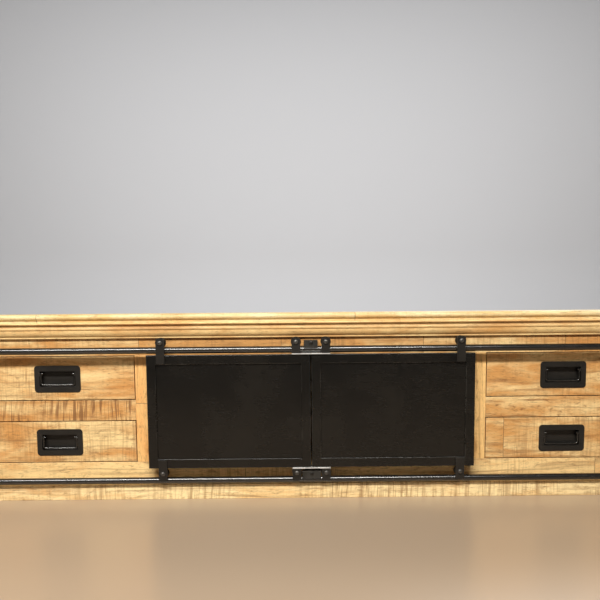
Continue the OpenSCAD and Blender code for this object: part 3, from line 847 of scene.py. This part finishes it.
# %% [markdown]
# Rails and plinth are each one call: the seed picks the board, saw says how strong its marks are, and the
# palettes make a rail lighter or yellower than its neighbours.
# %% Sawn rails and plinth
SAW_DEPTH, BOARD_EASE = 0.22 * MM, 0.9 * MM
LIGHT_HONEY = {"Cream": paint(252, 218, 154), "Honey": paint(228, 174, 106), "Amber": paint(220, 164, 96)}
STRAW = {"Cream": paint(254, 230, 174), "Honey": paint(238, 196, 130), "Amber": paint(222, 168, 100)}


def sawn_piece(node, seed, saw, shape=None, cut=None, **looks):
    """A board along X with pressed saw marks. cut is a block to take out of it, or None."""
    shape = ease_edges(shape or clean_copy(node), BOARD_EASE)
    rings = ring_across(shape)
    finish = wood_finish(node + " wood", "x", seed, saw, **looks)
    depth = SAW_DEPTH * min(1.0, saw * 1.4)
    carved = grow(node, as_mesh(shape, node), SAW_RELIEF, Seed=seed, Depth=depth, Finish=finish)
    piece = finish_mesh(carved, node + "_piece", [finish])
    if cut:
        take_out(piece, cut)
    settle(piece, [node])
    print(node, "rings:", rings, "faces:", len(piece.data.polygons))


sawn_piece("frieze_rail", seed=2.21, saw=0.6, Stave=0.34, Start=-0.75, Tone=0.10)
sawn_piece("bottom_rail", seed=2.57, saw=0.42, Stave=0.85, Start=0.69, Tone=-0.12, **LIGHT_HONEY)
sawn_piece("mid_rail_left", seed=3.95, saw=1.5, Stave=3.0, Start=-2.0, Tone=0.08)
sawn_piece("mid_rail_right", seed=4.18, saw=0.30, Stave=3.0, Start=-2.0, Tone=0.10, Figure=1.7)
sawn_piece("plinth_front", seed=5.63, saw=0.75, Stave=1.9, Start=-1.0, Tone=-0.22, **STRAW)

# %% [markdown]
# ## Drawer fronts
# Each front is one sawn board with a pocket for the cup of its pull. The pocket is cut half a millimetre
# larger than the cup, whose size is read from the part of the pull that lies behind the board's face.
# One front is glued up from a short stave and a long one, so its joint is placed near its left end.
# %% Drawer fronts
POCKET_ROOM = 0.5 * MM
SIDES = ("left", "right")
DRAWERS = [(level, side) for level in ("upper", "lower") for side in SIDES]
NO_JOINT = -1.0
# seed, saw, tone, and how far the joint lies from the left end
FRONT_LOOKS = {
    ("upper", "left"): (6.41, 0.85, 0.06, NO_JOINT),
    ("lower", "left"): (7.93, 0.50, -0.02, NO_JOINT),
    ("upper", "right"): (8.27, 0.50, 0.10, NO_JOINT),
    ("lower", "right"): (9.31, 0.55, 0.02, 0.043),
}


def cup_block(pull, face_y):
    """A block round the pull's cup, open to the front."""
    behind = [v.co for v in NODES[pull].data.vertices if v.co.y > face_y + MM]
    low = Vector([min(c[i] for c in behind) - POCKET_ROOM for i in range(3)])
    high = Vector([max(c[i] for c in behind) + POCKET_ROOM for i in range(3)])
    low.y = face_y - 5 * MM
    return box_shape(low, high)


for level, side in DRAWERS:
    name = f"drawer_{level}_{side}"
    seed, saw, tone, joint = FRONT_LOOKS[level, side]
    low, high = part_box(name + "_front")
    sawn_piece(
        name + "_front", seed, saw, shape=box_shape(low, high), cut=cup_block(name + "_pull", low.y),
        Stave=2.0, Start=low.x + joint, Tone=tone,
    )

# %% [markdown]
# ## The case
# The stiles stand upright, so their grain does too. Side panels, top, shelf and bottom are glued up from
# planks about eleven centimetres wide, and the thin lines between the planks show on the wide faces.
# %% Case boards
ONE_PLANK = 10.0
GLOWING = {"Cream": paint(252, 206, 134), "Honey": paint(242, 184, 112)}
# grain, seed, saw, plank width, start of a stave, own looks
CASE_BOARDS = {
    "side_panel_left": ("z", 10.3, 0.30, 0.11, 0.29, {}),
    "side_panel_right": ("z", 11.9, 0.30, 0.11, 0.17, {}),
    "divider_left": ("z", 12.4, 0.2, 0.12, 0.26, {}),
    "divider_right": ("z", 13.8, 0.2, 0.12, 0.14, {}),
    "bottom_board": ("x", 14.6, 0.2, 0.10, 0.1, {}),
    "centre_shelf": ("x", 15.1, 0.2, 0.09, 0.3, {}),
    "outer_stile_left": ("z", 16.7, 0.25, ONE_PLANK, 0.30, {}),
    "outer_stile_right": ("z", 17.2, 0.25, ONE_PLANK, 0.12, {}),
    "inner_stile_left": ("z", 18.9, 0.16, ONE_PLANK, 0.23, GLOWING),
    # The right inner stile's Tone of -0.5 is painted light: it makes the stile paler to stand in for the
    # brighter light on the right side.
    "inner_stile_right": ("z", 19.5, 0.16, ONE_PLANK, 0.60, {**GLOWING, "Tone": -0.5}),
    "plinth_left": ("y", 20.8, 0.6, ONE_PLANK, 0.9, {}),
    "plinth_right": ("y", 21.4, 0.6, ONE_PLANK, 0.9, {}),
    "drawer_runners": ("y", 22.6, 0.15, ONE_PLANK, 0.9, {}),
}
for node, (grain, seed, saw, plank, start, palette) in CASE_BOARDS.items():
    finish = wood_finish(node + " wood", grain, seed, saw, Stave=0.8, Plank=plank, Start=start, **palette)
    eased_piece(node, BOARD_EASE, finish, "mango_wood")
print("case boards:", len(CASE_BOARDS))

# %% [markdown]
# ## Top board and moulding
# The top ends in a round nose, and the moulding below it steps back in a reed, a bead and a quarter round.
# Its hollows are darkened with painted shade, so each vertex gets a groove value from how far it lies
# behind the line between the moulding's crests.
# %% Top and moulding
def groove_values(shape, depth_of):
    """Gives every vertex its groove value, from nought on a crest to one in a hollow."""
    layer = shape.verts.layers.float.new("groove")
    for vertex in shape.verts:
        vertex[layer] = depth_of(vertex.co)


def moulding_piece(node, seed, grain):
    """A moulding with painted shade in its hollows."""
    shape = clean_copy(node)
    case_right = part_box("side_panel_right")[1].x
    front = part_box("frieze_rail")[0].y
    low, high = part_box("cornice_front")
    crest = front - low.y

    def hollow(place):
        reach = max(front - place.y, abs(place.x) - case_right)
        share = (place.z - low.z) / (high.z - low.z)
        line = crest * (0.42 + 0.58 * min(1.0, share * 1.5))
        return min(1.0, max(0.0, (line - reach) / (0.32 * crest)))

    groove_values(shape, hollow)
    finish = wood_finish(
        node + " wood", grain, seed, saw=0.1, groove=0.36, Stave=2.6, Start=-1.3, Figure=0.5, Knots=0.0,
        Tone=0.02, **LIGHT_HONEY,
    )
    node_piece(ease_edges(shape, 0.4 * MM, sharp=50), node, [finish])


moulding_piece("cornice_front", seed=41.9, grain="x")
moulding_piece("cornice_sides", seed=24.7, grain="y")
# The top board's pale, creamy palette is partly its own tone and partly a painted highlight for the light
# that its round nose catches from above.
TOP_CREAM_AND_PAINTED_SHEEN = {"Cream": paint(250, 230, 178), "Honey": paint(234, 196, 128), "Amber": paint(232, 188, 120)}
top_wood = wood_finish(
    "top board wood", "x", 25.4, saw=0.15, wear=0.4, Stave=0.75, Start=0.3, Plank=0.105, Figure=0.5,
    **TOP_CREAM_AND_PAINTED_SHEEN,
)
eased_piece("top_board", 0.6 * MM, top_wood, "mango_wood", sharp=50)

# %% [markdown]
# ## Drawer boxes and back panel
# Inside, the drawers are plainer: pale planed boards and a thin bottom. The back is a sheet of plywood,
# held by a row of small countersunk screws, with a plastic grommet in each of its two cable holes.
# %% Drawer boxes and back
PALE = {
    "Cream": paint(226, 200, 152), "Honey": paint(206, 170, 116), "Amber": paint(212, 172, 116),
    "Brown": paint(168, 126, 78),
}
PLY = {
    "Cream": paint(214, 184, 134), "Honey": paint(196, 158, 106), "Amber": paint(190, 150, 100),
    "Brown": paint(156, 114, 70),
}
BOX_LOOKS = {"saw": 0.0, "Stave": 4.0, "Start": -2.0, "Knots": 0.3, "Figure": 0.6, **PALE}
for index, (level, side) in enumerate(FRONT_LOOKS):
    name = f"drawer_{level}_{side}_box"
    eased_piece(name, 0.6 * MM, wood_finish(name + " wood", "y", 26.3 + index, **BOX_LOOKS), "drawer_wood")
ply_finish = wood_finish(
    "back panel plywood", "x", 31.7, saw=0.0, Stave=6.0, Start=-3.0, Knots=0.5, Figure=1.2, **PLY,
)
eased_piece("back_panel", 0.4 * MM, ply_finish, "plywood")
eased_piece("cable_grommets", 0.6 * MM, PLASTIC, "black_plastic")
eased_piece("shelf_pins", 0.6 * MM, BARE_STEEL, "bare_steel")
print("drawer boxes:", len(FRONT_LOOKS))

# %% [markdown]
# ## Screws
# A screw is modelled once: a domed head with a straight slot, turned from a short outline about its axis.
# %% A screw
def turned_shape(outline, steps=32):
    """A solid turned about Y: outline is (radius, y) pairs from the tip of the axis to its other end."""
    shape = bmesh.new()
    points = [shape.verts.new((radius, y, 0)) for radius, y in outline]
    edges = [shape.edges.new(pair) for pair in zip(points, points[1:])]
    bmesh.ops.spin(
        shape, geom=points + edges, cent=(0, 0, 0), axis=(0, 1, 0), angle=2 * math.pi, steps=steps,
        use_merge=True,
    )
    bmesh.ops.remove_doubles(shape, verts=shape.verts, dist=1e-6)
    bmesh.ops.recalc_face_normals(shape, faces=shape.faces)
    return shape


def slotted_head(radius, height, shank, length, collar=None):
    """A screw along Y whose head faces -Y, with a slot across it. collar is (radius, from y, to y)."""
    dome = [math.pi / 2 * i / 6 for i in range(7)]
    side, tip = 0.45 * height, 0.4 * MM
    outline = [(radius * math.sin(a), -side - (height - side) * math.cos(a)) for a in dome]
    outline[0] = (0, -height)
    outline += [(radius, -0.06 * height), (radius * 0.94, 0), (shank, 0)]
    if collar:
        outline += [(shank, collar[1]), (collar[0], collar[1]), (collar[0], collar[2]), (shank, collar[2])]
    outline += [(shank, length - tip), (shank - tip, length), (0, length)]
    screw = add_object("screw", as_mesh(turned_shape(outline), "screw"))
    reach, half_width, depth = 1.2 * radius, 0.13 * radius, 0.42 * height
    take_out(screw, box_shape(
        Vector((-reach, -height - MM, -half_width)), Vector((reach, -height + depth, half_width)),
    ))
    return screw


print("screws can be turned")

# %% [markdown]
# A tree sets a screw on every point of a point mesh and turns each slot at random, from a fixed seed,
# because nobody lines up the slots on a workshop floor.
# %% The tree that sets screws
def screw_tree():
    """Geometry Nodes: a screw on every point, each turned at random about Y."""
    tree, given, out = start_tree(
        "Screws on points", Screw=("NodeSocketObject", None), Turn=(FLOAT, math.pi), Seed=(WHOLE, 1),
    )
    model = add_node(tree, "GeometryNodeObjectInfo", Object=given["Screw"])
    chance = tree.nodes.new("FunctionNodeRandomValue")
    chance.data_type = "FLOAT"
    numbers = [socket for socket in chance.inputs if socket.type == "VALUE"]
    feed(tree, numbers[0], 0.0)
    feed(tree, numbers[1], given["Turn"])
    feed(tree, chance.inputs["Seed"], given["Seed"])
    turn = next(socket for socket in chance.outputs if socket.type == "VALUE")
    points = add_node(tree, "GeometryNodeMeshToPoints", Mesh=given["Geometry"]).outputs[0]
    placed = add_node(
        tree, "GeometryNodeInstanceOnPoints", Points=points, Instance=model.outputs["Geometry"],
        Rotation=vector_of(tree, 0.0, turn, 0.0),
    )
    return end_tree(tree, placed.outputs["Instances"], given, out)


SCREW_TREE = screw_tree()


def set_screws(name, screw, places, finish, seed):
    """A bmesh of one screw at each place."""
    points = bpy.data.meshes.new(name)
    points.from_pydata(places, [], [])
    shape = grow(name, points, SCREW_TREE, Screw=screw, Seed=seed, Finish=finish)
    bpy.data.objects.remove(screw)
    return shape


print("tree:", SCREW_TREE.name)

# %% [markdown]
# The doors' axles are shoulder bolts: the slotted head lies on the strap, a collar spaces the wheel, and
# a nut closes it behind. Every bolt sits at the middle of its wheel, which the frame gives.
# %% Axle bolts
STRAP = 4 * MM


def middle(node):
    """The middle of a frame node's box."""
    low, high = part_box(node)
    return (low + high) / 2


def wheel_names(side):
    """A door's four wheels."""
    return [f"wheel_{side}_{row}_{place}" for row in ("top", "bottom") for place in ("outer", "inner")]


def axle_piece(side, seed):
    """The four axle bolts of a door."""
    node = f"door_{side}_axles"
    low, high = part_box(node)
    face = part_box(f"door_{side}_hangers")[0].y
    wheels = wheel_names(side)
    wheel_low, wheel_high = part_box(wheels[0])
    head, shank, collar, room, nut = 5.5 * MM, 3 * MM, 5 * MM, 0.3 * MM, 3 * MM
    places = [(middle(w).x, face, middle(w).z) for w in wheels]
    spacer = (collar, STRAP, wheel_low.y - face - room)
    screw = slotted_head(head, face - low.y, shank, high.y - face, spacer)
    shape = set_screws(node, screw, places, BOLT_STEEL, seed)
    upright = Matrix.Rotation(math.pi / 2, 4, "X")
    for x, _, z in places:
        bmesh.ops.create_cone(
            shape, cap_ends=True, segments=6, radius1=collar, radius2=collar, depth=nut,
            matrix=Matrix.Translation((x, wheel_high.y + room + nut / 2, z)) @ upright,
        )
    return node_piece(shape, node, [BOLT_STEEL], crease=35)


for number, side in enumerate(SIDES):
    print("axles:", axle_piece(side, 3 + number).name)

# %% [markdown]
# Rod brackets are short blocks bored for the rod and bolted through to the case. Their bolts are shorter
# and blackened. Each bolt's place is read from the front of its frame node, one group of corners a bolt.
# %% Brackets and their bolts
eased_piece("rod_brackets", 0.8 * MM, BRACKET_IRON, "black_iron", sharp=50)


def bracket_bolts():
    """One bolt in the face of each bracket."""
    low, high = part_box("rod_bolts")
    head = 3 * MM
    face = low.y + head
    half_way = (low.z + high.z) / 2
    bolts = clean_copy("rod_bolts")
    groups = {}
    for co in [v.co for v in bolts.verts if v.co.y < low.y + 0.1 * MM]:
        groups.setdefault((round(co.x, 1), co.z > half_way), []).append(co)
    places = []
    for corners in groups.values():
        x = (min(c.x for c in corners) + max(c.x for c in corners)) / 2
        z = (min(c.z for c in corners) + max(c.z for c in corners)) / 2
        places.append((x, face, z))
    bolts.free()
    screw = slotted_head(radius=4.5 * MM, height=head, shank=2.5 * MM, length=high.y - face)
    shape = set_screws("rod_bolts", screw, places, IRON, 8)
    node_piece(shape, "rod_bolts", [IRON], crease=35)
    print("bracket bolts:", len(places))


bracket_bolts()

# %% [markdown]
# The screws of the back panel are small, and follow its edges every twenty centimetres. They are turned
# round first, so their heads face outwards at the back.
# %% Back screws
def back_screws(inset=12 * MM, spacing=0.2):
    """Small screws round the edge of the back panel, heads outwards."""
    low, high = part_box("back_panel")
    span = high.x - low.x - 2 * inset
    across = int(span / spacing)
    places = []
    for i in range(across + 1):
        x = low.x + inset + i * span / across
        places += [(x, high.y, low.z + inset), (x, high.y, high.z - inset)]
    for x in (low.x + inset, high.x - inset):
        places.append((x, high.y, (low.z + high.z) / 2))
    screw = slotted_head(radius=3.6 * MM, height=0.9 * MM, shank=1.7 * MM, length=7 * MM)
    screw.data.transform(Matrix.Rotation(math.pi, 4, "Z"))
    shape = set_screws("back_screws", screw, places, BARE_STEEL, 5)
    piece = finish_mesh(shape, "back_screws", [BARE_STEEL], crease=35)
    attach(piece, NODES["back_panel"]["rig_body"])
    print("back screws:", len(places))


back_screws()

# %% [markdown]
# ## Rods and wheels
# The rods are plain drawn bar with chamfered ends. Each wheel is turned on a lathe: a groove that fits
# round the rod between two flanges, with a small round on every rim and a shallow dish in each face.
# %% Rods and wheels
for node in ("upper_rod", "lower_rod"):
    eased_piece(node, 1.0 * MM, ROD_STEEL, "rod_steel", sharp=60)


def wheel_piece(node):
    """A grooved wheel, turned about its axle."""
    low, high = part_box(node)
    half, flange = (high.y - low.y) / 2, (high.z - low.z) / 2
    bore, groove, rod = 3.05 * MM, 9.5 * MM, 8.5 * MM
    hub, rim, dish, ease = 2.2 * MM, 2.0 * MM, 0.6 * MM, 0.5 * MM
    outline = [(bore, -half), (bore + hub, -half), (bore + hub + dish, -half + dish)]
    outline += [(flange - rim - dish, -half + dish), (flange - rim, -half), (flange - ease, -half)]
    outline += [(flange, -half + ease)]
    reach = math.asin(min(1.0, math.sqrt(rod**2 - (groove + rod - flange) ** 2) / rod))
    for i in range(13):
        angle = reach * (i / 6 - 1)
        outline.append((groove + rod - rod * math.cos(angle), rod * math.sin(angle)))
    outline += [(radius, -y) for radius, y in outline[6::-1]]
    shape = turned_shape(outline + outline[:1], steps=48)
    bmesh.ops.translate(shape, verts=shape.verts, vec=middle(node))
    return node_piece(shape, node, [IRON], crease=35)


for side in SIDES:
    print("wheels:", [wheel_piece(node).name for node in wheel_names(side)])

# %% [markdown]
# ## Doors
# A door is four lengths of square steel tube, cut at forty-five degrees and welded into a frame, with a
# thin sheet set back behind its front. The bars are modelled one by one, so the mitres stay visible as
# fine lines.
# %% Door frames
def mitred_bar(shape, low, high, tube, side_name):
    """Adds one bar of a rectangular frame in X and Z, with mitred ends."""
    x0, x1, z0, z1 = low.x, high.x, low.z, high.z
    outer = {
        "left": ((x0, z0), (x0, z1)), "right": ((x1, z1), (x1, z0)),
        "bottom": ((x1, z0), (x0, z0)), "top": ((x0, z1), (x1, z1)),
    }[side_name]
    centre = ((x0 + x1) / 2, (z0 + z1) / 2)

    def inner(corner):
        return tuple(c + (tube if c < m else -tube) for c, m in zip(corner, centre))

    plan = [outer[0], outer[1], inner(outer[1]), inner(outer[0])]
    front = [shape.verts.new((x, low.y, z)) for x, z in plan]
    back = [shape.verts.new((x, high.y, z)) for x, z in plan]
    shape.faces.new(front)
    shape.faces.new(back[::-1])
    for i in range(4):
        j = (i + 1) % 4
        shape.faces.new((front[j], front[i], back[i], back[j]))


def long_edge(edge):
    """Whether an edge runs straight along a bar, rather than through it or across a mitre."""
    run = run_of(edge)
    return max(abs(part) for part in run.normalized()) > 0.99 and abs(run.y) < MM


def door_frame_piece(side):
    """The welded frame of a door."""
    node = f"door_{side}_frame"
    low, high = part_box(node)
    shape = bmesh.new()
    for side_name in ("left", "right", "bottom", "top"):
        mitred_bar(shape, low, high, high.y - low.y, side_name)
    bmesh.ops.recalc_face_normals(shape, faces=shape.faces)
    shape = ease_edges(shape, 1.3 * MM, segments=3, chosen=long_edge)
    return node_piece(shape, node, [DOOR_IRON])


print("door frames can be built")

# %% [markdown]
# Thin sheet is never quite flat, so it gets a slow wave of a few tenths of a millimetre, which dies away
# towards the frame that holds it.
# %% Doors and their sheets
def door_sheet_piece(side, wave=0.35 * MM):
    """A thin sheet with a slow wave in it."""
    node = f"door_{side}_sheet"
    low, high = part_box(node)
    shape = box_shape(low, high)
    for axis, cuts in ((2, 30), (0, 40)):
        chosen = [e for e in shape.edges if abs(run_of(e)[axis]) > 0.1]
        bmesh.ops.subdivide_edges(shape, edges=chosen, cuts=cuts, use_grid_fill=True)
    for vertex in shape.verts:
        u = (vertex.co.x - low.x) / (high.x - low.x)
        v = (vertex.co.z - low.z) / (high.z - low.z)
        held = min(1.0, 6 * min(u, 1 - u)) * min(1.0, 6 * min(v, 1 - v))
        vertex.co.y += wave * held * noise.noise(vertex.co * 6.5)
    shape.loops.layers.float.new("edge")
    return node_piece(shape, node, [DOOR_IRON])


for side in SIDES:
    print("door:", door_frame_piece(side).name, door_sheet_piece(side).name)

# %% [markdown]
# ## Hangers
# Flat straps carry the door on its wheels. Where two straps meet the middle of the cabinet they stand on
# a steel plate whose near-white colour is a painted highlight: it draws the glint of the light as a bright
# line under the upper rod and over the lower one. The plate's faces are the ones that lie level with the
# door's upper and lower edges, and they get the second material, the painted highlight.
# %% Hangers
FOOT, FOOT_END = 2.5 * MM, 11 * MM


def hanger_piece(side):
    """A door's straps in black iron, with a painted highlight on the plates under the inner ones."""
    node = f"door_{side}_hangers"
    shape = clean_copy(node)
    frame_low, frame_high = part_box(f"door_{side}_frame")
    inner_x = abs(middle(f"wheel_{side}_top_inner").x) + FOOT_END
    levels = ((frame_high.z, frame_high.z + FOOT), (frame_low.z - FOOT, frame_low.z))
    for level in [z for pair in levels for z in pair]:
        bmesh.ops.bisect_plane(
            shape, geom=[*shape.verts, *shape.edges, *shape.faces], dist=1e-6,
            plane_co=(0, 0, level), plane_no=(0, 0, 1),
        )
    shape = ease_edges(shape, 0.5 * MM, sharp=50)
    for face in shape.faces:
        spot = face.calc_center_median()
        in_plate = any(low - 0.05 * MM <= spot.z <= high + 0.05 * MM for low, high in levels)
        # The plate faces near the middle get the painted highlight.
        face.material_index = int(in_plate and abs(spot.x) < inner_x)
    return node_piece(shape, node, [IRON, PAINTED_GLINT_STEEL])


for side in SIDES:
    print("hangers:", hanger_piece(side).name)

# %% [markdown]
# ## Pulls and bails
# A campaign pull is pressed from sheet: a flat plate with round corners and a cup for the fingers. Its
# bail is a bent bar on two pins. The bar's line is a curve whose grip bows down a little, and a Geometry
# Nodes tree sweeps a round along it, with the bar's radius as a named input.
# %% Round-bar tree
def sweep_tree():
    """Geometry Nodes: a round bar along a line of edges."""
    tree, given, out = start_tree("Round bar", Radius=(FLOAT, 2.5 * MM), Sides=(WHOLE, 20))
    line = add_node(tree, "GeometryNodeMeshToCurve", Mesh=given["Geometry"]).outputs[0]
    size = {"Resolution": given["Sides"], "Radius": given["Radius"]}
    ring = add_node(tree, "GeometryNodeCurvePrimitiveCircle", **size).outputs[0]
    bar = add_node(tree, "GeometryNodeCurveToMesh", Curve=line, Profile_Curve=ring, Fill_Caps=True)
    return end_tree(tree, bar.outputs["Mesh"], given, out)


ROUND_BAR = sweep_tree()
print("tree:", ROUND_BAR.name)

# %% [markdown]
# The bail's line starts in one pin, turns down the leg, goes round the corner, and follows the grip to the
# other side, which is its mirror image. It shares the lacquered finish of the rods.
# %% Pulls and bails
def bail_line(half, drop, corner, bow, pin):
    """Points of the bail from one pin to the other, in X and Z, with the pivot at z = 0."""
    turns = [math.pi / 2 * i / 8 for i in range(9)]
    leg = [(half - pin, 0.0), (half - 1.2 * MM, 0.0), (half - 0.35 * MM, -0.35 * MM), (half, -1.2 * MM)]
    down = [(half, -drop + corner + (drop - corner - 3 * MM) * (1 - i / 4)) for i in range(5)]
    centre_z = corner - drop
    bend = [(half - corner + corner * math.cos(a), centre_z - corner * math.sin(a)) for a in turns[1:]]
    right = leg + down[1:] + bend
    grip_half = half - corner
    across = [grip_half * (1 - 2 * i / 24) for i in range(1, 24)]
    grip = [(x, -drop - bow * (1 - (x / grip_half) ** 2)) for x in across]
    return right + grip + [(-x, z) for x, z in reversed(right)]


def bail_piece(node, radius=2.5 * MM, bow=0.8 * MM):
    """A bent bar on two pins."""
    low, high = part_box(node)
    centre, pivot_z = middle(node), high.z - radius
    half, drop = (high.x - low.x) / 2 - radius, high.z - low.z - 2 * radius
    line = bail_line(half, drop - bow, corner=5.5 * MM, bow=bow, pin=4.7 * MM)
    points = [(centre.x + x, centre.y, pivot_z + z) for x, z in line]
    mesh = bpy.data.meshes.new(node + "_line")
    mesh.from_pydata(points, [(i, i + 1) for i in range(len(points) - 1)], [])
    shape = grow(node, mesh, ROUND_BAR, Radius=radius, Sides=20, Finish=ROD_STEEL)
    return node_piece(shape, node, [ROD_STEEL], crease=60)


for level, side in DRAWERS:
    name = f"drawer_{level}_{side}"
    pull = eased_piece(name + "_pull", 0.55 * MM, IRON, "black_iron", sharp=50, segments=3)
    print("pull:", pull.name, bail_piece(name + "_bail").name)

# %% [markdown]
# ## Sizes at the end
# The finished cabinet has to stay the size of its frame. Both boxes are printed side by side.
# %% Sizes and finish
shown_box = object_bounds()
for label, (low, high) in (("size:", shown_box), ("frame:", CAD_BOX)):
    print(label, [round(b - a, 4) for a, b in zip(low, high)])
left_over = [name for name, node in NODES.items() if not node.hide_render]
print("frame nodes still shown:", left_over)
